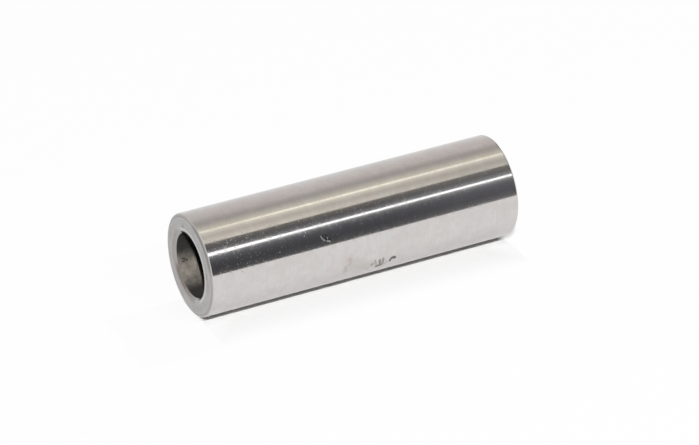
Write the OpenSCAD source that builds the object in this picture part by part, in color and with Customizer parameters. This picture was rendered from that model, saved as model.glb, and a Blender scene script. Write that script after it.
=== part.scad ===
// Gudgeon pin: a hollow steel pin, turned, hardened and ground, that joins a piston to its connecting rod.
// The axis is +Z. The pin stands on one end, and the origin is the middle of that end.

/* [Pin] */
// Outside diameter of the ground bearing surface
pin_d = 16; // [14:0.5:24]
// Length over the two end faces
pin_length = 52; // [30:0.5:80]

/* [Bore] */
// Diameter of the hole right through the pin
bore_d = 10; // [6:0.25:11]
// Leg of the 45 degree chamfer at each mouth of the hole
bore_chamfer = 0.35; // [0.05:0.05:0.5]

/* [End bevel] */
// Length of the outer bevel along the axis, at each end
bevel_length = 0.25; // [0.1:0.05:1]
// Width of that bevel across the end face
bevel_width = 0.7; // [0.1:0.05:0.9]

/* [Hidden] */
// Facets to a full turn
$fn = 180;
pin_r = pin_d / 2;
bore_r = bore_d / 2;
// The flat ring that stays on each end, between the bore's chamfer and the outer bevel
face_inner_r = bore_r + bore_chamfer;
face_outer_r = pin_r - bevel_width;

// Half of the section through the axis: X is the radius and Y is the height along the pin
module half_section() {
    polygon([
        [face_inner_r, 0],
        [face_outer_r, 0],
        [pin_r, bevel_length],
        [pin_r, pin_length - bevel_length],
        [face_outer_r, pin_length],
        [face_inner_r, pin_length],
        [bore_r, pin_length - bore_chamfer],
        [bore_r, bore_chamfer]
    ]);
}

// The whole pin, one turned piece with the same form at both ends
module gudgeon_pin() {
    color("silver")
        rotate_extrude()
            half_section();
}

gudgeon_pin();
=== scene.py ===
import math

import bmesh
import bpy
from mathutils import Matrix, Vector


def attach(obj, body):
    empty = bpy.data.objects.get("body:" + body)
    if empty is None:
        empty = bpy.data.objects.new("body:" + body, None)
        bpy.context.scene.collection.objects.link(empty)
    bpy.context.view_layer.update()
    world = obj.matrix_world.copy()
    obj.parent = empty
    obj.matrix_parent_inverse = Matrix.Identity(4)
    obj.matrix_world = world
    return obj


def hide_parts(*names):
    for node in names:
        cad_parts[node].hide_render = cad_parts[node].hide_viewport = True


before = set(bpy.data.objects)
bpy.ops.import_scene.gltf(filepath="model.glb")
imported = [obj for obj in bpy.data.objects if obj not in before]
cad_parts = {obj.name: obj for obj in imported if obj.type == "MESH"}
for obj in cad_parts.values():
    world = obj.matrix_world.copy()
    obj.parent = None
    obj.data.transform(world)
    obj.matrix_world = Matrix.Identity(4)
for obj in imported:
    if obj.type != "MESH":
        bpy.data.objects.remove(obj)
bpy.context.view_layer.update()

# A hollow ground gudgeon pin. It stands on its end in the part's frame. In the photograph it lies on a
# white table, so here the table touches its side and the camera is turned to look at it from there.

MM = 0.001
NODE = "gudgeon_pin"

# Sizes of the pin in millimetres, as the part's source has them
PIN_RADIUS = 8.0
PIN_LENGTH = 52.0
BORE_RADIUS = 5.0
BORE_CHAMFER = 0.35
BEVEL_LENGTH = 0.25
BEVEL_WIDTH = 0.7
FACE_INNER_RADIUS = BORE_RADIUS + BORE_CHAMFER
FACE_OUTER_RADIUS = PIN_RADIUS - BEVEL_WIDTH

# How far each edge is broken, as a radius in millimetres
SIDE_EDGE_ROUND = 0.25
FACE_EDGE_ROUND = 0.2
MOUTH_EDGE_ROUND = 0.06
BORE_EDGE_ROUND = 0.08

# How finely the turned form is divided: steps to a turn and to a rounded edge, and gaps in millimetres
TURN_STEPS = 256
ROUND_STEPS = 5
GUARD_GAP = 0.03
RING_SPACING = 2.0

# Directions at the table: up from it, and along it to the camera's side
HALF_ROOT = math.sqrt(0.5)
TABLE_UP = Vector((HALF_ROOT, -HALF_ROOT, 0.0))
TABLE_FRONT = Vector((-HALF_ROOT, -HALF_ROOT, 0.0))
PIN_AXIS = Vector((0.0, 0.0, 1.0))

WHITE = (1.0, 1.0, 1.0)


class Wire:
    """One output of a node. Arithmetic on wires adds Math nodes."""

    def __init__(self, finish, socket):
        self.finish = finish
        self.socket = socket

    def output(self, name):
        """Another output of the same node."""
        return Wire(self.finish, pick_socket(self.socket.node.outputs, name))

    def math(self, operation, first, second):
        return self.finish.node("ShaderNodeMath", {"operation": operation}, {0: first, 1: second})

    def __add__(self, other):
        return self.math("ADD", self, other)

    def __radd__(self, other):
        return self.math("ADD", other, self)

    def __sub__(self, other):
        return self.math("SUBTRACT", self, other)

    def __rsub__(self, other):
        return self.math("SUBTRACT", other, self)

    def __mul__(self, other):
        return self.math("MULTIPLY", self, other)

    def __rmul__(self, other):
        return self.math("MULTIPLY", other, self)

    def __truediv__(self, other):
        return self.math("DIVIDE", self, other)

    def __pow__(self, other):
        return self.math("POWER", self, other)

    def least(self, other):
        return self.math("MINIMUM", self, other)

    def most(self, other):
        return self.math("MAXIMUM", self, other)


class Finish:
    """The nodes of one material, or of the world."""

    def __init__(self, tree):
        self.tree = tree
        tree.nodes.clear()

    def node(self, kind, settings=None, sockets=None, output=0):
        made = self.tree.nodes.new(kind)
        for name, value in (settings or {}).items():
            if name == "stops":
                set_stops(made.color_ramp, value)
            else:
                setattr(made, name, value)
        for name, value in (sockets or {}).items():
            socket = pick_socket(made.inputs, name)
            if isinstance(value, Wire):
                self.tree.links.new(value.socket, socket)
            else:
                socket.default_value = value
        if len(made.outputs) == 0:
            return None
        return Wire(self, pick_socket(made.outputs, output))


def pick_socket(sockets, name):
    """The socket with that number, or the first one in use with that name."""
    if isinstance(name, int):
        return sockets[name]
    return next(socket for socket in sockets if socket.name == name and socket.enabled)


def set_stops(ramp, stops):
    """Puts stops of (place, colour) on a colour ramp."""
    while len(ramp.elements) > 1:
        ramp.elements.remove(ramp.elements[-1])
    first, *others = stops
    ramp.elements[0].position = first[0]
    ramp.elements[0].color = opaque(first[1])
    for place, colour in others:
        ramp.elements.new(place).color = opaque(colour)


def opaque(colour):
    return (*colour, 1.0)


def new_finish(name):
    """A material with an empty node tree, and the tree's builder."""
    material = bpy.data.materials.new(name)
    material.use_nodes = True
    return material, Finish(material.node_tree)


def fade_in(value, start, stop):
    """0 below start, 1 above stop, and smooth between."""
    return value.finish.node(
        "ShaderNodeMapRange",
        {"interpolation_type": "SMOOTHSTEP"},
        {"Value": value, "From Min": start, "From Max": stop},
    )


def fade_out(value, start, stop):
    return 1.0 - fade_in(value, start, stop)


def blend_colour(finish, mask, below, above):
    """The colour below where the mask is 0, and the colour above where it is 1."""
    sides = {"Factor": mask}
    for name, colour in (("A", below), ("B", above)):
        sides[name] = colour if isinstance(colour, Wire) else opaque(colour)
    return finish.node("ShaderNodeMix", {"data_type": "RGBA"}, sides, "Result")


def noise(finish, vector, scale, detail, roughness):
    return finish.node(
        "ShaderNodeTexNoise",
        {"noise_dimensions": "3D"},
        {"Vector": vector, "Scale": scale, "Detail": detail, "Roughness": roughness},
    )


def stretched(finish, vector, factors):
    """The vector with each of its parts multiplied by its own factor."""
    return finish.node("ShaderNodeVectorMath", {"operation": "MULTIPLY"}, {0: vector, 1: factors})


def at_table(front, up, along):
    """A direction or place, by how far it goes to the camera's side, up and along the pin."""
    return TABLE_FRONT * front + TABLE_UP * up + PIN_AXIS * along


def reach(place, direction):
    """How far a place goes in that direction."""
    return place.finish.node(
        "ShaderNodeVectorMath",
        {"operation": "DOT_PRODUCT"},
        {0: place, 1: direction},
        "Value",
    )


def span_at(size, start, stop):
    """A span that starts and stops so far past a size."""
    return (size + start, size + stop)


def placed(name, data):
    """A new object that holds that data, in the scene."""
    made = bpy.data.objects.new(name, data)
    bpy.context.scene.collection.objects.link(made)
    return made


# The turned form

def section_corners():
    """Corners of the half section as (radius, height) with the radius that each is rounded to."""
    return [
        (Vector((BORE_RADIUS, BORE_CHAMFER)), BORE_EDGE_ROUND),
        (Vector((FACE_INNER_RADIUS, 0.0)), MOUTH_EDGE_ROUND),
        (Vector((FACE_OUTER_RADIUS, 0.0)), FACE_EDGE_ROUND),
        (Vector((PIN_RADIUS, BEVEL_LENGTH)), SIDE_EDGE_ROUND),
        (Vector((PIN_RADIUS, PIN_LENGTH - BEVEL_LENGTH)), SIDE_EDGE_ROUND),
        (Vector((FACE_OUTER_RADIUS, PIN_LENGTH)), FACE_EDGE_ROUND),
        (Vector((FACE_INNER_RADIUS, PIN_LENGTH)), MOUTH_EDGE_ROUND),
        (Vector((BORE_RADIUS, PIN_LENGTH - BORE_CHAMFER)), BORE_EDGE_ROUND),
    ]


def rounded_corner(corner, before, after, round_radius):
    """Points along one rounded corner, with a guard point on the straight at each side of it."""
    to_before = (before - corner).normalized()
    to_after = (after - corner).normalized()
    half_turn = (math.pi - to_before.angle(to_after)) / 2
    setback = round_radius * math.tan(half_turn)
    inward = (to_before + to_after).normalized()
    middle = corner + inward * (round_radius / math.cos(half_turn))
    first = (corner + to_before * setback - middle).normalized()
    last = (corner + to_after * setback - middle).normalized()
    points = [corner + to_before * (setback + GUARD_GAP)]
    for step in range(ROUND_STEPS + 1):
        points.append(middle + first.slerp(last, step / ROUND_STEPS) * round_radius)
    points.append(corner + to_after * (setback + GUARD_GAP))
    return points


def section_points():
    """All points round the half section, with rings along its long straights."""
    corners = section_corners()
    outline = []
    for index, (corner, round_radius) in enumerate(corners):
        before = corners[index - 1][0]
        after = corners[(index + 1) % len(corners)][0]
        outline.extend(rounded_corner(corner, before, after, round_radius))
    points = []
    for index, point in enumerate(outline):
        following = outline[(index + 1) % len(outline)]
        pieces = max(1, round((following - point).length / RING_SPACING))
        for piece in range(pieces):
            points.append(point.lerp(following, piece / pieces))
    return points


def turned_pin(material):
    """The pin, turned from its section about the axis."""
    form = bmesh.new()
    rings = []
    for radius, height in section_points():
        ring = []
        for step in range(TURN_STEPS):
            turn = 2 * math.pi * step / TURN_STEPS
            place = Vector((radius * math.cos(turn), radius * math.sin(turn), height))
            ring.append(form.verts.new(place * MM))
        rings.append(ring)
    for index, ring in enumerate(rings):
        outer = rings[(index + 1) % len(rings)]
        for step in range(TURN_STEPS):
            after = (step + 1) % TURN_STEPS
            face = form.faces.new((ring[step], ring[after], outer[after], outer[step]))
            face.smooth = True
    bmesh.ops.recalc_face_normals(form, faces=form.faces)
    mesh = bpy.data.meshes.new("turned_pin")
    form.to_mesh(mesh)
    form.free()
    mesh.materials.append(material)
    return placed("turned_pin", mesh)


# The steel's finish

# Ground outside: its tones, which change in faint rings and blotches, and how sharply it mirrors
GROUND_WARM = (0.691, 0.663, 0.65)
GROUND_COOL = (0.666, 0.661, 0.651)
GROUND_GRAIN = (0.57, 0.548, 0.536)
GROUND_BLOTCH = (0.596, 0.557, 0.546)
BLOTCH_SHARE = 0.6
GRAIN_SHARE = 0.85
GROUND_ROUGHNESS = 0.06
STREAK_ROUGHNESS = 0.03
HAZE_ROUGHNESS = 0.078
SPECK_ROUGHNESS = 0.25
SPECK_RISE = 0.06
SPECK_RISE_SPAN = (22.0, 48.0)
GRAZING_TINT = (0.85, 0.85, 0.85)

# Noise on the outside: how the place is stretched, (scale, detail, roughness), and the span that shows
STREAK_STRETCH = (0.1, 0.1, 0.8)
STREAK_NOISE = (1.0, 3.0, 0.5)
STREAK_SPAN = (0.35, 0.65)
GRAIN_STRETCH = (0.25, 0.25, 3.5)
GRAIN_NOISE = (1.0, 4.0, 0.6)
GRIND_STRETCH = (0.4, 0.4, 18.0)
GRIND_NOISE = (1.0, 2.0, 0.5)
PEEL_NOISE = (0.9, 1.0, 0.5)
SPECK_NOISE = (3.2, 1.0, 0.5)
SPECK_SPAN = (0.72, 0.78)
HAZE_NOISE = (1.7, 3.0, 0.6)
HAZE_SPAN = (0.45, 0.7)
BLOTCH_NOISE = (0.55, 3.0, 0.6)
BLOTCH_SPAN = (0.38, 0.62)

# Where each finish, painted highlight and painted shade begins and is full: spans of the radius, or of the
# way in from an end, in millimetres
MIDDLE_RADIUS = (BORE_RADIUS + PIN_RADIUS) / 2
GROUND_RADIUS_SPAN = span_at(MIDDLE_RADIUS, -0.1, 0.1)
GROUND_END_SPAN = span_at(BEVEL_LENGTH, -0.13, 0.05)
BORE_SPAN = span_at(BORE_RADIUS, 0.005, 0.04)
MOUTH_SPAN = span_at(FACE_INNER_RADIUS, -0.07, 0.05)
MOUTH_DIRT_SPAN = span_at(FACE_INNER_RADIUS, -0.05, 0.95)
MOUTH_HIGHLIGHT_INNER_SPAN = span_at(FACE_INNER_RADIUS, 0.13, 0.23)
MOUTH_HIGHLIGHT_OUTER_SPAN = span_at(FACE_INNER_RADIUS, 0.43, 0.6)
BEVEL_SPAN = span_at(FACE_OUTER_RADIUS, 0.05, 0.2)
BEVEL_SHADE_SPAN = span_at(FACE_OUTER_RADIUS, -0.15, 0.3)
BEVEL_HIGHLIGHT_INNER_SPAN = span_at(FACE_OUTER_RADIUS, -0.2, -0.02)
BEVEL_HIGHLIGHT_OUTER_SPAN = span_at(FACE_OUTER_RADIUS, 0.0, 0.15)

# The side that a one-sided finish, painted highlight or painted shade lies to, and the span over which it
# comes in, where 1 is the side itself
MOUTH_BROWN_SIDE = Vector((-0.087, 0.996, 0.0))
MOUTH_BROWN_TURN = (0.85, 0.965)
MOUTH_DIRT_SIDE = Vector((0.259, 0.966, 0.0))
MOUTH_DIRT_TURN = (0.1, 0.35)
MOUTH_HIGHLIGHT_SIDE = Vector((-0.174, -0.985, 0.0))
MOUTH_HIGHLIGHT_TURN = (-0.1, 0.2)
BEVEL_SHADE_SIDE = Vector((0.087, -0.996, 0.0))
BEVEL_SHADE_TURN = (0.8, 0.93)

# Turned ends, satin, with rings left by the tool, a painted highlight along the edge between face and
# bevel, and painted shade on one side of the bevel
FACE_LIGHT = (0.502, 0.49, 0.485)
FACE_DARK = (0.411, 0.398, 0.392)
FACE_ROUGHNESS = 0.4
FACE_RING_ROUGHNESS = 0.08
FACE_TONE_SPAN = (0.33, 0.67)
RING_BY_RADIUS = 3.0
RING_BY_ARC = 0.02
RING_NOISE = (1.0, 4.0, 0.65)
RING_SHARE = 0.4
PATCH_NOISE = (0.8, 4.0, 0.6)
# Painted highlight along the edge between face and bevel
FACE_EDGE_HIGHLIGHT = (0.505, 0.494, 0.488)
BEVEL_TONE = (0.41, 0.4, 0.395)
# Painted shade on one side of the bevel
BEVEL_SHADE = (0.28, 0.268, 0.262)

# Dark spots on the ends, as paths of (X, Y) in millimetres
FACE_SPOTS = (((5.35, -3.0), (5.45, -2.7)), ((-3.05, -5.6), (-3.7, -5.1)))
FACE_SPOT_COLOUR = (0.27, 0.26, 0.27)
FACE_SPOT_WIDTH = 0.3
FACE_SPOT_CORE = 0.0

# Mouth of the bore, with dirt round it and a painted highlight on one side of the face round it
MOUTH_PALE = (0.37, 0.356, 0.347)
MOUTH_BROWN = (0.225, 0.195, 0.18)
MOUTH_DIRT = (0.23, 0.205, 0.195)
MOUTH_DIRT_SHARE = 0.5
# Painted highlight in a ring on one side round the mouth
MOUTH_HIGHLIGHT_TONE = (0.6, 0.59, 0.583)
MOUTH_ROUGHNESS = 0.12

# Bore, dull and brown with oil, with painted light on one side, painted shade on the other sides and
# painted shade further in
BORE_PALE = (0.405, 0.368, 0.326)
BORE_BROWN = (0.262, 0.239, 0.204)
# Painted shade where the bore is unlit, and deeper in
BORE_SHADED_TONE = (0.049, 0.048, 0.044)
BORE_DEEP_SHADE = (0.028, 0.028, 0.027)
BORE_ROUGHNESS = 0.6
# The side of the bore with painted light, and how it fades round the bore
BORE_LIT_SIDE = Vector((0.1, 0.995, 0.0))
BORE_LIT_FROM = 0.75
BORE_LIT_CURVE = 2.0
BORE_PATCH_SHIFT = 0.12
BORE_PATCH_REST = BORE_PATCH_SHIFT / 2
BORE_SHADE_SIDE = Vector((0.1305, 0.9914, 0.0))
BORE_SHADE_SLOPE = 3.0
BORE_SHADE_SPAN = (0.29, 0.5)
OIL_NOISE = (1.7, 5.0, 0.7)
OIL_SPAN = (0.35, 0.65)

# Dark smears in the bore, as paths of (arc from +X, height) in millimetres
BORE_SMEARS = (
    ((5.5, 50.8), (5.72, 50.45), (5.88, 50.1)),
    ((5.98, 50.9), (6.0, 50.6)),
    ((4.3, 50.9), (4.32, 50.8)),
)
BORE_SMEAR_COLOUR = (0.06, 0.052, 0.052)
BORE_SMEAR_WIDTH = 0.24
BORE_SMEAR_CORE = 0.2
BORE_SMEAR_SHARE = 0.85

# Marks on the outside, as paths of (arc from +X, height) in millimetres
NICK_RIM = ((-14.95, 33.58), (-15.18, 33.54), (-15.43, 33.37), (-15.66, 33.13))
NICK_FOOT = ((-15.84, 32.7), (-15.87, 32.49), (-15.99, 32.3))
NICK_POINT = ((-15.36, 32.6), (-15.48, 32.62))
NICK_PITS = (
    ((-14.91, 33.27), (-15.0, 33.26)),
    ((-14.98, 32.78), (-15.07, 32.77)),
    ((-15.35, 32.97), (-15.51, 32.85)),
    ((-15.63, 32.36), (-15.69, 32.25)),
)
UPPER_FLECK = ((-13.86, 35.86), (-13.9, 35.84))
LOWER_FLECK = ((-14.29, 36.16), (-14.33, 36.16))
DASH = ((-22.52, 21.96), (-22.07, 21.8), (-21.95, 21.59), (-22.14, 21.19))
STAIN_LEFT = ((-21.7, 24.67), (-23.26, 24.12))
STAIN_FOOT = ((-23.28, 24.08), (-23.17, 23.77), (-23.19, 23.28))
STAIN_RIGHT = ((-21.72, 23.29), (-22.37, 23.21), (-22.98, 23.18))
STAIN_MIDDLE = ((-21.86, 23.86), (-22.8, 23.59))
STAIN_DOT = ((-22.38, 25.12), (-22.37, 25.02))
STAIN_TAIL = ((-22.96, 22.73), (-22.77, 22.52))
SMEAR = ((-22.51, 26.01), (-23.46, 25.73))
SMUDGE_BLOB = ((-19.87, 29.15), (-20.79, 29.06))
SMUDGE_STREAK = ((-21.29, 29.8), (-22.45, 29.58))
SMUDGE_AREA = ((-20.6, 28.9), (-22.4, 26.2))

# Each mark's strokes as (path, half width, share of it that is full, strength)
NICK_STROKES = (
    (NICK_RIM, 0.16, 0.5, 1.0),
    (NICK_FOOT, 0.15, 0.5, 1.0),
    (NICK_POINT, 0.12, 0.5, 1.0),
    (UPPER_FLECK, 0.12, 0.5, 0.7),
    (LOWER_FLECK, 0.12, 0.5, 0.7),
)
PIT_STROKES = tuple((pit, 0.17, 0.5, 1.0) for pit in NICK_PITS)
STAIN_STROKES = (
    (DASH, 0.25, 0.5, 1.0),
    (STAIN_LEFT, 0.3, 0.3, 0.4),
    (STAIN_FOOT, 0.3, 0.3, 0.85),
    (STAIN_RIGHT, 0.3, 0.3, 0.65),
    (STAIN_MIDDLE, 0.3, 0.3, 0.75),
    (STAIN_DOT, 0.3, 0.3, 0.5),
    (STAIN_TAIL, 0.3, 0.3, 0.25),
)
SMUDGE_STROKES = (
    (SMUDGE_BLOB, 0.75, 0.0, 0.8),
    (SMUDGE_STREAK, 0.75, 0.0, 0.65),
    (SMEAR, 0.6, 0.0, 0.6),
    (SMUDGE_AREA, 2.0, 0.1, 0.42),
)
PLAIN_SPREAD = 1.0
STAIN_SPREAD = 1.8
SMUDGE_PATCH_SPAN = (0.2, 0.55)

# What the marks look like, and the depth of the relief in millimetres
NICK_COLOUR = (0.5, 0.49, 0.49)
PIT_COLOUR = (0.22, 0.22, 0.23)
STAIN_COLOUR = (0.16, 0.145, 0.135)
SMUDGE_COLOUR = (0.47, 0.42, 0.375)
NICK_ROUGHNESS = 0.45
STAIN_ROUGHNESS = 0.25
NICK_DEPTH = 0.006
GRIND_DEPTH = 0.0002
PEEL_DEPTH = 0.0015
RING_DEPTH = 0.002


def along_path(across, height, path, width, core, spread=PLAIN_SPREAD):
    """1 along a path over the unrolled surface, and 0 from the half width on.

    The core is the share of the half width that stays full. A spread above 1 makes the mark that much
    wider round the pin than along it.
    """
    places = [Vector((arc / spread, up)) for arc, up in path]
    mask = None
    for start, stop in zip(places, places[1:]):
        run = stop - start
        lead = run.normalized()
        aside_from = across / spread - start.x
        up_from = height - start.y
        forward = aside_from * lead.x + up_from * lead.y
        sideways = up_from * lead.x - aside_from * lead.y
        past = forward - forward.most(0.0).least(run.length)
        gap = (past * past + sideways * sideways) ** 0.5
        leg = fade_out(gap, width * core, width)
        mask = leg if mask is None else mask.most(leg)
    return mask


def marked(across, height, strokes, spread=PLAIN_SPREAD):
    """All the strokes of one mark."""
    mask = None
    for path, width, core, strength in strokes:
        stroke = along_path(across, height, path, width, core, spread) * strength
        mask = stroke if mask is None else mask.most(stroke)
    return mask


class PinPlace:
    """Where a point of the pin's surface lies, in millimetres."""

    def __init__(self, finish):
        place = finish.node("ShaderNodeTexCoord", output="Object")
        to_mm = {"Vector": place, "Scale": 1 / MM}
        self.finish = finish
        self.point = finish.node("ShaderNodeVectorMath", {"operation": "SCALE"}, to_mm)
        self.x = finish.node("ShaderNodeSeparateXYZ", sockets={"Vector": self.point}, output="X")
        self.y = self.x.output("Y")
        self.height = self.x.output("Z")
        self.radius = (self.x * self.x + self.y * self.y) ** 0.5
        self.turn = self.x.math("ARCTAN2", self.y, self.x)
        self.from_end = self.height.least(PIN_LENGTH - self.height)

    def arc(self, radius):
        """How far round from +X the point lies, at that radius."""
        return self.turn * radius

    def toward(self, side):
        """1 where the point lies to that side of the axis, and -1 where it lies opposite."""
        return reach(self.point, side) / self.radius


def ground_outside(place):
    """The ground outside: its tone, its roughness and its relief."""
    finish = place.finish
    point = place.point
    streaks = noise(finish, stretched(finish, point, STREAK_STRETCH), *STREAK_NOISE)
    streaks = fade_in(streaks, *STREAK_SPAN)
    grain = noise(finish, stretched(finish, point, GRAIN_STRETCH), *GRAIN_NOISE)
    lines = noise(finish, stretched(finish, point, GRIND_STRETCH), *GRIND_NOISE)
    peel = noise(finish, point, *PEEL_NOISE)
    speck_rise = fade_in(place.height, *SPECK_RISE_SPAN) * SPECK_RISE
    specks = fade_in(noise(finish, point, *SPECK_NOISE) + speck_rise, *SPECK_SPAN)
    haze = fade_in(noise(finish, point, *HAZE_NOISE), *HAZE_SPAN)
    blotches = fade_in(noise(finish, point, *BLOTCH_NOISE), *BLOTCH_SPAN)
    tone = blend_colour(finish, streaks, GROUND_WARM, GROUND_COOL)
    tone = blend_colour(finish, grain * GRAIN_SHARE, tone, GROUND_GRAIN)
    tone = blend_colour(finish, blotches * BLOTCH_SHARE, tone, GROUND_BLOTCH)
    rough = GROUND_ROUGHNESS + streaks * STREAK_ROUGHNESS
    rough = rough + haze * HAZE_ROUGHNESS + specks * SPECK_ROUGHNESS
    relief = lines * GRIND_DEPTH + peel * PEEL_DEPTH
    return tone, rough, relief


def marked_outside(place, patches, tone, rough, relief):
    """The outside's tone, roughness and relief with its nick, pits, stain and smudge on it."""
    finish = place.finish
    across = place.arc(PIN_RADIUS)
    nick = marked(across, place.height, NICK_STROKES)
    pits = marked(across, place.height, PIT_STROKES)
    stain = marked(across, place.height, STAIN_STROKES, STAIN_SPREAD)
    smudge = marked(across, place.height, SMUDGE_STROKES)
    smudge = smudge * fade_in(patches, *SMUDGE_PATCH_SPAN)
    tone = blend_colour(finish, smudge, tone, SMUDGE_COLOUR)
    tone = blend_colour(finish, nick, tone, NICK_COLOUR)
    tone = blend_colour(finish, stain, tone, STAIN_COLOUR)
    tone = blend_colour(finish, pits, tone, PIT_COLOUR)
    rough = rough + nick * NICK_ROUGHNESS + stain * STAIN_ROUGHNESS
    relief = relief + nick * NICK_DEPTH - pits * NICK_DEPTH
    return tone, rough, relief


def turned_end(place, rings, patches):
    """A satin end with tool rings, a bevel and the bore's mouth, with painted highlights round the mouth
    and along the bevel's edge and painted shade on one side of the bevel: its tone and its roughness.
    """
    finish = place.finish
    radius = place.radius
    bevel = fade_in(radius, *BEVEL_SPAN)
    # A painted highlight all round the edge between face and bevel
    bevel_edge_highlight = fade_in(radius, *BEVEL_HIGHLIGHT_INNER_SPAN) - fade_in(radius, *BEVEL_HIGHLIGHT_OUTER_SPAN)
    # Painted shade on one side of the bevel
    shade_side = fade_in(place.toward(BEVEL_SHADE_SIDE), *BEVEL_SHADE_TURN)
    shaded_bevel = fade_in(radius, *BEVEL_SHADE_SPAN) * shade_side
    mouth = fade_out(radius, *MOUTH_SPAN)
    mouth_brown = mouth * fade_in(place.toward(MOUTH_BROWN_SIDE), *MOUTH_BROWN_TURN)
    dirt_side = fade_in(place.toward(MOUTH_DIRT_SIDE), *MOUTH_DIRT_TURN)
    mouth_dirt = fade_out(radius, *MOUTH_DIRT_SPAN) * dirt_side * MOUTH_DIRT_SHARE
    # A painted highlight in a ring on one side round the mouth
    highlight_side = fade_in(place.toward(MOUTH_HIGHLIGHT_SIDE), *MOUTH_HIGHLIGHT_TURN)
    mouth_highlight = fade_in(radius, *MOUTH_HIGHLIGHT_INNER_SPAN) - fade_in(radius, *MOUTH_HIGHLIGHT_OUTER_SPAN)
    ringed = rings * RING_SHARE + patches * (1.0 - RING_SHARE)
    tone = blend_colour(finish, fade_in(ringed, *FACE_TONE_SPAN), FACE_DARK, FACE_LIGHT)
    tone = blend_colour(finish, bevel, tone, BEVEL_TONE)
    tone = blend_colour(finish, bevel_edge_highlight, tone, FACE_EDGE_HIGHLIGHT)
    tone = blend_colour(finish, shaded_bevel, tone, BEVEL_SHADE)
    tone = blend_colour(finish, highlight_side * mouth_highlight, tone, MOUTH_HIGHLIGHT_TONE)
    for path in FACE_SPOTS:
        spot = along_path(place.x, place.y, path, FACE_SPOT_WIDTH, FACE_SPOT_CORE)
        tone = blend_colour(finish, spot, tone, FACE_SPOT_COLOUR)
    tone = blend_colour(finish, mouth_dirt, tone, MOUTH_DIRT)
    tone = blend_colour(finish, mouth, tone, MOUTH_PALE)
    tone = blend_colour(finish, mouth_brown, tone, MOUTH_BROWN)
    rough = FACE_ROUGHNESS + rings * FACE_RING_ROUGHNESS
    rough = rough * (1.0 - mouth) + mouth * MOUTH_ROUGHNESS
    return tone, rough


def oily_bore(place, oil, patches):
    """The tone of the dull bore: brown oil on its side with painted light, painted shade elsewhere and
    further in, with dark smears.
    """
    finish = place.finish
    # Painted light on one side of the bore, painted shade on the rest
    lit_side = place.toward(BORE_LIT_SIDE) + patches * BORE_PATCH_SHIFT - BORE_PATCH_REST
    lit_share = (lit_side - BORE_LIT_FROM) / (1.0 - BORE_LIT_FROM)
    lit_share = lit_share.most(0.0).least(1.0) ** BORE_LIT_CURVE
    # Painted shade deeper in the bore, cut on a slant
    shade = place.from_end - place.toward(BORE_SHADE_SIDE) * BORE_SHADE_SLOPE
    tone = blend_colour(finish, oil, BORE_BROWN, BORE_PALE)
    tone = blend_colour(finish, lit_share, BORE_SHADED_TONE, tone)
    tone = blend_colour(finish, fade_in(shade, *BORE_SHADE_SPAN), tone, BORE_DEEP_SHADE)
    across = place.arc(BORE_RADIUS)
    for path in BORE_SMEARS:
        smear = along_path(across, place.height, path, BORE_SMEAR_WIDTH, BORE_SMEAR_CORE)
        tone = blend_colour(finish, smear * BORE_SMEAR_SHARE, tone, BORE_SMEAR_COLOUR)
    return tone


def pin_steel():
    """Steel that is ground bright outside, satin on the ends and dull brown in the bore."""
    material, finish = new_finish("pin_steel")
    place = PinPlace(finish)
    ground = fade_in(place.radius, *GROUND_RADIUS_SPAN) * fade_in(place.from_end, *GROUND_END_SPAN)
    bore = fade_out(place.radius, *BORE_SPAN)
    face = (1.0 - ground - bore).most(0.0)

    # What more than one finish shares
    ring_place = finish.node(
        "ShaderNodeCombineXYZ",
        sockets={"X": place.radius * RING_BY_RADIUS, "Y": place.arc(PIN_RADIUS) * RING_BY_ARC},
    )
    rings = noise(finish, ring_place, *RING_NOISE)
    patches = noise(finish, place.point, *PATCH_NOISE)
    oil = fade_in(noise(finish, place.point, *OIL_NOISE), *OIL_SPAN)

    outside = ground_outside(place)
    ground_tone, ground_rough, ground_relief = marked_outside(place, patches, *outside)
    face_tone, face_rough = turned_end(place, rings, patches)
    bore_tone = oily_bore(place, oil, patches)
    colour = blend_colour(finish, ground, face_tone, ground_tone)
    colour = blend_colour(finish, bore, colour, bore_tone)
    rough = ground * ground_rough + (face + bore) * face_rough
    relief = ground * ground_relief + face * rings * RING_DEPTH + bore * oil * RING_DEPTH
    normal = finish.node("ShaderNodeBump", sockets={"Strength": 1.0, "Distance": MM, "Height": relief})
    surface = finish.node(
        "ShaderNodeBsdfPrincipled",
        sockets={
            "Base Color": colour,
            "Roughness": rough,
            "Metallic": 1.0 - bore,
            "Normal": normal,
            "Diffuse Roughness": BORE_ROUGHNESS,
            "Specular IOR Level": 0.0,
            "Specular Tint": opaque(GRAZING_TINT),
        },
    )
    finish.node("ShaderNodeOutputMaterial", sockets={"Surface": surface})
    return material


# The table, the studio and the light

# The table top: how far it goes from the pin in metres, and its colour
TABLE_FRONT_REACH = 0.417
TABLE_BACK_REACH = 1.2
TABLE_HALF_LENGTH = 1.2
TABLE_COLOUR = (0.74, 0.74, 0.74)

# Where the table is plain white and where it keeps the pin's shadow: shares of white, and spans in metres
# to the camera's side or along the pin
TABLE_GLOW = 0.96
FRONT_GLOW_SPAN = (0.0032, 0.0122)
BACK_GLOW_SPAN = (-0.026, -0.018)
SHADE_GLOW = 0.88
SHADE_GLOW_SPAN = (-0.008, -0.001)
TOP_END_GLOW = 0.94
TOP_END_GLOW_SPAN = (-0.001, -0.0002)
TOP_CLEAR_GLOW_SPAN = (0.0, 0.014)
END_FRONT_GLOW = 0.8
END_FRONT_GLOW_SPAN = (0.0033, 0.0052)
TOP_FRONT_GLOW_SPAN = (-0.007, 0.0)
LOW_FRONT_GLOW_SPAN = (-0.0005, 0.006)
TOP_CORNER_ALONG_SPAN = (-0.012, -0.007)
TOP_CORNER_FRONT_SPAN = (-0.004, -0.001)
UNDER_GLOW = 0.3
UNDER_GLOW_SPAN = (0.0014, 0.0024)

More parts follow.
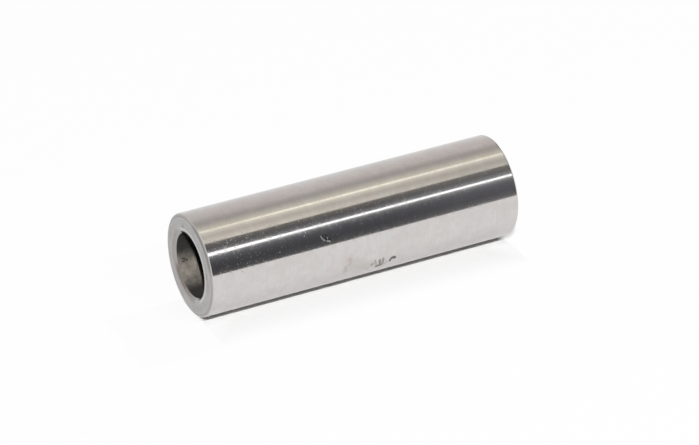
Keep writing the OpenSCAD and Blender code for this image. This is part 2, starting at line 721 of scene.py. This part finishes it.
# The rounded shadow past the lower end: its middle and half sizes in metres, and where it fades in them
LOW_SHADOW_BACK = 0.003
LOW_SHADOW_WIDTH = 0.005
LOW_SHADOW_LENGTH = 0.0034
LOW_SHADOW_SPAN = (1.0, 1.4)
LOW_END_SPAN = (-0.0005, 0.0005)


def shown_plainly(finish):
    """1 for what the camera sees, straight or in a mirror or through glass."""
    seen = finish.node("ShaderNodeLightPath", output="Is Camera Ray")
    return seen.most(seen.output("Is Glossy Ray")).most(seen.output("Is Transmission Ray"))


def table_glow(finish):
    """The table's share of plain white. The rest of it takes the light and keeps the pin's shadow."""
    place = finish.node("ShaderNodeTexCoord", output="Object")
    along = reach(place, PIN_AXIS)
    front = reach(place, TABLE_FRONT)
    past_top = along - PIN_LENGTH * MM
    glow = fade_in(front, *FRONT_GLOW_SPAN)
    glow = glow.most(fade_out(front, *BACK_GLOW_SPAN))
    glow = glow.most(fade_out(front, *SHADE_GLOW_SPAN) * SHADE_GLOW)

    # Past the upper end, in front of both ends and at the upper end's back corner
    glow = glow.most(fade_in(past_top, *TOP_END_GLOW_SPAN) * TOP_END_GLOW)
    glow = glow.most(fade_in(past_top, *TOP_CLEAR_GLOW_SPAN))
    by_an_end = fade_in(past_top, *TOP_FRONT_GLOW_SPAN).most(fade_out(along, *LOW_FRONT_GLOW_SPAN))
    glow = glow.most(by_an_end * fade_in(front, *END_FRONT_GLOW_SPAN) * END_FRONT_GLOW)
    top_corner = fade_in(past_top, *TOP_CORNER_ALONG_SPAN)
    glow = glow.most(top_corner * fade_out(front, *TOP_CORNER_FRONT_SPAN))

    # Past the lower end, outside its shadow
    low_across = (front + LOW_SHADOW_BACK) / LOW_SHADOW_WIDTH
    low_along = along / LOW_SHADOW_LENGTH
    low_shadow = (low_across * low_across + low_along * low_along) ** 0.5
    past_low = fade_in(0.0 - along, *LOW_END_SPAN)
    glow = glow.most(past_low * fade_in(low_shadow, *LOW_SHADOW_SPAN))

    # Under the pin, where only the pin mirrors the table
    mirrored = finish.node("ShaderNodeLightPath", output="Is Glossy Ray")
    mirrored = mirrored * (1.0 - mirrored.output("Diffuse Depth").least(1.0))
    glow = glow.most(mirrored * fade_out(front, *UNDER_GLOW_SPAN) * UNDER_GLOW)
    return glow * TABLE_GLOW * shown_plainly(finish)


def table_finish():
    """White table top that keeps the pin's shadow. From below, the camera looks through it."""
    material, finish = new_finish("white_table_top")
    white = finish.node("ShaderNodeBsdfDiffuse", sockets={"Color": opaque(TABLE_COLOUR)})
    bright = finish.node("ShaderNodeEmission", sockets={"Color": opaque(WHITE), "Strength": 1.0})
    top = finish.node("ShaderNodeMixShader", sockets={0: table_glow(finish), 1: white, 2: bright})
    clear = finish.node("ShaderNodeBsdfTransparent")
    from_below = finish.node("ShaderNodeNewGeometry", output="Backfacing")
    seen = finish.node("ShaderNodeLightPath", output="Is Camera Ray")
    surface = finish.node("ShaderNodeMixShader", sockets={0: from_below * seen, 1: top, 2: clear})
    finish.node("ShaderNodeOutputMaterial", sockets={"Surface": surface})
    return material


def white_table(material):
    """A flat table that the pin's side lies on."""
    places = (
        (-TABLE_BACK_REACH, -TABLE_HALF_LENGTH),
        (TABLE_FRONT_REACH, -TABLE_HALF_LENGTH),
        (TABLE_FRONT_REACH, TABLE_HALF_LENGTH),
        (-TABLE_BACK_REACH, TABLE_HALF_LENGTH),
    )
    low = -PIN_RADIUS * MM
    corners = [at_table(front, low, along) for front, along in places]
    mesh = bpy.data.meshes.new("white_table")
    mesh.from_pydata(corners, [], [(0, 1, 2, 3)])
    mesh.update()
    if mesh.polygons[0].normal.dot(TABLE_UP) < 0:
        mesh.flip_normals()
    mesh.materials.append(material)
    table = placed("white_table", mesh)


# The studio screen: its size in metres, and its first and last angle up from the table's front edge
STUDIO_RADIUS = 1.0
STUDIO_LOW = -1.2
STUDIO_HIGH = 1.0
STUDIO_STEPS = 96
STUDIO_FIRST_ANGLE = -4.0
STUDIO_LAST_ANGLE = 185.0


def studio_screen(material):
    """A screen that curves round the pin's axis and shows only in reflections."""
    places = []
    faces = []
    for step in range(STUDIO_STEPS + 1):
        share = step / STUDIO_STEPS
        angle = math.radians(STUDIO_FIRST_ANGLE + (STUDIO_LAST_ANGLE - STUDIO_FIRST_ANGLE) * share)
        front = STUDIO_RADIUS * math.cos(angle)
        up = STUDIO_RADIUS * math.sin(angle)
        places.append(at_table(front, up, STUDIO_LOW))
        places.append(at_table(front, up, STUDIO_HIGH))
    for step in range(STUDIO_STEPS):
        low = 2 * step
        faces.append((low, low + 1, low + 3, low + 2))
    mesh = bpy.data.meshes.new("studio_screen")
    mesh.from_pydata(places, [], faces)
    mesh.update()
    mesh.materials.append(material)
    screen = placed("studio_screen", mesh)
    screen.visible_camera = False
    screen.visible_diffuse = False
    screen.visible_shadow = False


# Brightness of the studio round the pin, by the angle up from the table's front edge: a dark room with a
# strip lamp at the front, a pale ceiling with a thin warm light, and a pale back
STUDIO_TONES = (
    (0.0, (0.17, 0.17, 0.173)),
    (4.0, (0.11, 0.11, 0.115)),
    (14.0, (0.082, 0.083, 0.092)),
    (24.0, (0.089, 0.09, 0.101)),
    (32.0, (0.115, 0.12, 0.133)),
    (38.0, (0.188, 0.197, 0.206)),
    (42.5, (0.42, 0.43, 0.44)),
    (48.5, (0.335, 0.344, 0.353)),
    (52.0, (0.222, 0.228, 0.233)),
    (58.0, (0.134, 0.133, 0.137)),
    (64.0, (0.176, 0.17, 0.166)),
    (69.0, (0.235, 0.222, 0.204)),
    (70.6, (0.9, 0.865, 0.785)),
    (76.0, (0.8, 0.773, 0.7)),
    (81.0, (0.7, 0.67, 0.61)),
    (85.0, (0.665, 0.635, 0.578)),
    (92.0, (0.82, 0.79, 0.7)),
    (96.5, (1.05, 1.02, 0.9)),
    (98.0, (1.5, 1.47, 1.27)),
    (100.3, (1.5, 1.47, 1.27)),
    (102.0, (0.87, 0.84, 0.73)),
    (108.0, (0.73, 0.707, 0.621)),
    (113.0, (0.607, 0.579, 0.54)),
    (121.0, (0.5, 0.475, 0.455)),
    (129.0, (0.59, 0.555, 0.535)),
    (137.0, (0.72, 0.68, 0.655)),
    (150.0, (0.8, 0.755, 0.74)),
    (164.0, (0.88, 0.85, 0.835)),
    (180.0, (0.96, 0.95, 0.94)),
)

# How much lighter or darker those tones are for each end of the pin: angle, near end, far end
END_TONES = (
    (14.0, 0.87, 1.6),
    (24.0, 1.0, 1.65),
    (33.0, 1.25, 1.45),
    (45.0, 1.1, 1.15),
    (58.0, 1.1, 1.4),
    (67.0, 1.0, 1.15),
    (70.6, 1.08, 0.85),
    (78.0, 1.08, 0.86),
    (86.0, 1.03, 0.94),
    (96.0, 0.95, 0.95),
    (98.0, 0.8, 0.88),
    (100.3, 0.8, 0.88),
    (103.0, 0.95, 0.97),
    (118.0, 0.99, 1.0),
    (137.0, 0.94, 1.01),
    (155.0, 0.95, 0.97),
    (180.0, 0.96, 0.98),
)
STUDIO_TURN = 180.0

# Where along the screen the tones of each end come in, in metres
NEAR_TONES_SPAN = (-0.3855, -0.336)
FAR_TONES_SPAN = (-0.472, -0.415)

# The strip lamp as it shows, with its angles in degrees, and the dim room past the far end
STRIP_COLOUR = (1.95, 1.99, 2.03)
STRIP_SHOWN_ANGLE = 45.55
STRIP_SPAN = (1.5, 2.65)
STRIP_FLARE = 0.7
STRIP_FLARE_SPAN = (-0.375, -0.335)
FAR_ROOM_TONE = (0.14, 0.135, 0.13)
FAR_ROOM_SPAN = (-0.8, -0.5)


def studio_finish():
    """The studio's tones by the angle round the pin."""
    material, finish = new_finish("studio_tones")
    place = finish.node("ShaderNodeTexCoord", output="Object")
    front = reach(place, TABLE_FRONT)
    up = reach(place, TABLE_UP).most(0.0)
    angle = up.math("ARCTAN2", up, front)
    stops = [(degrees / STUDIO_TURN, tone) for degrees, tone in STUDIO_TONES]
    tone = finish.node("ShaderNodeValToRGB", {"stops": stops}, {0: angle / math.pi})
    along = reach(place, PIN_AXIS)
    near_stops = [(degrees / STUDIO_TURN, (near, near, near)) for degrees, near, far in END_TONES]
    far_stops = [(degrees / STUDIO_TURN, (far, far, far)) for degrees, near, far in END_TONES]
    near_tones = finish.node("ShaderNodeValToRGB", {"stops": near_stops}, {0: angle / math.pi})
    far_tones = finish.node("ShaderNodeValToRGB", {"stops": far_stops}, {0: angle / math.pi})
    near_share = fade_in(along, *NEAR_TONES_SPAN)
    far_share = fade_out(along, *FAR_TONES_SPAN)
    tone = stretched(finish, tone, blend_colour(finish, near_share, WHITE, near_tones))
    tone = stretched(finish, tone, blend_colour(finish, far_share, WHITE, far_tones))
    flare = 1.0 + fade_in(along, *STRIP_FLARE_SPAN) * STRIP_FLARE
    off_strip = angle * (STUDIO_TURN / math.pi) - STRIP_SHOWN_ANGLE
    off_strip = off_strip.most(0.0 - off_strip) / flare
    tone = blend_colour(finish, fade_out(off_strip, *STRIP_SPAN), tone, STRIP_COLOUR)
    tone = blend_colour(finish, fade_out(along, *FAR_ROOM_SPAN), tone, FAR_ROOM_TONE)
    surface = finish.node("ShaderNodeEmission", sockets={"Color": tone})
    finish.node("ShaderNodeOutputMaterial", sockets={"Surface": surface})
    return material


# Lamps for the table: angle up from it, places and sizes in metres, and power in watts
LAMP_ANGLE = math.radians(44.5)
LAMP_DISTANCE = 1.0
STRIP_MIDDLE = -0.1
STRIP_LENGTH = 0.5
STRIP_WIDTH = 0.03
STRIP_POWER = 7.2
KEY_MIDDLE = 0.385
KEY_SIZE = 0.05
KEY_POWER = 7.95


def table_lamp(name, middle, length, width, power):
    """A flat lamp beside the pin that lights the table, and shows in no reflection."""
    data = bpy.data.lights.new(name, "AREA")
    data.shape = "RECTANGLE"
    data.size = length
    data.size_y = width
    data.energy = power
    lamp = placed(name, data)
    front = LAMP_DISTANCE * math.cos(LAMP_ANGLE)
    up = LAMP_DISTANCE * math.sin(LAMP_ANGLE)
    place = at_table(front, up, middle)
    outward = place.normalized()
    aside = outward.cross(PIN_AXIS).normalized()
    turn = Matrix((aside.cross(outward), aside, outward)).transposed()
    lamp.matrix_world = Matrix.Translation(place) @ turn.to_4x4()
    lamp.visible_glossy = False


# Strength of the white that shows, and of the light from all round
WORLD_WHITE = 1.0
WORLD_FILL = 0.07


def studio_world():
    """White behind everything, and a low even light on what scatters it."""
    world = bpy.data.worlds.new("studio_world")
    world.use_nodes = True
    finish = Finish(world.node_tree)
    white = finish.node("ShaderNodeBackground", sockets={0: opaque(WHITE), "Strength": WORLD_WHITE})
    fill = finish.node("ShaderNodeBackground", sockets={0: opaque(WHITE), "Strength": WORLD_FILL})
    surface = finish.node("ShaderNodeMixShader", sockets={0: shown_plainly(finish), 1: fill, 2: white})
    finish.node("ShaderNodeOutputWorld", sockets={"Surface": surface})
    bpy.context.scene.world = world


# The camera: its place in metres, where the right and the top of its picture point, and its lens and
# sensor in millimetres
CAMERA_PLACE = Vector((-0.102005, -0.509877, 0.250773))
CAMERA_RIGHT = Vector((-0.32701, -0.32701, -0.886639))
CAMERA_UP = Vector((0.92769, -0.289938, -0.235216))
CAMERA_LENS = 192.81
SENSOR_WIDTH = 36.0


def photo_camera():
    """A long lens that sees the pin as the photograph does."""
    data = bpy.data.cameras.new("photo_camera")
    data.sensor_fit = "HORIZONTAL"
    data.sensor_width = SENSOR_WIDTH
    data.lens = CAMERA_LENS
    camera = placed("photo_camera", data)
    right = CAMERA_RIGHT.normalized()
    back = right.cross(CAMERA_UP).normalized()
    turn = Matrix((right, back.cross(right), back)).transposed()
    camera.matrix_world = Matrix.Translation(CAMERA_PLACE) @ turn.to_4x4()
    bpy.context.scene.camera = camera


photo_camera()
bpy.context.scene.view_settings.view_transform = "Standard"

pin = turned_pin(pin_steel())
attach(pin, "root")
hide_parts(NODE)

white_table(table_finish())
studio_screen(studio_finish())
table_lamp("strip_lamp", STRIP_MIDDLE, STRIP_LENGTH, STRIP_WIDTH, STRIP_POWER)
table_lamp("key_lamp", KEY_MIDDLE, KEY_SIZE, KEY_SIZE, KEY_POWER)
studio_world()
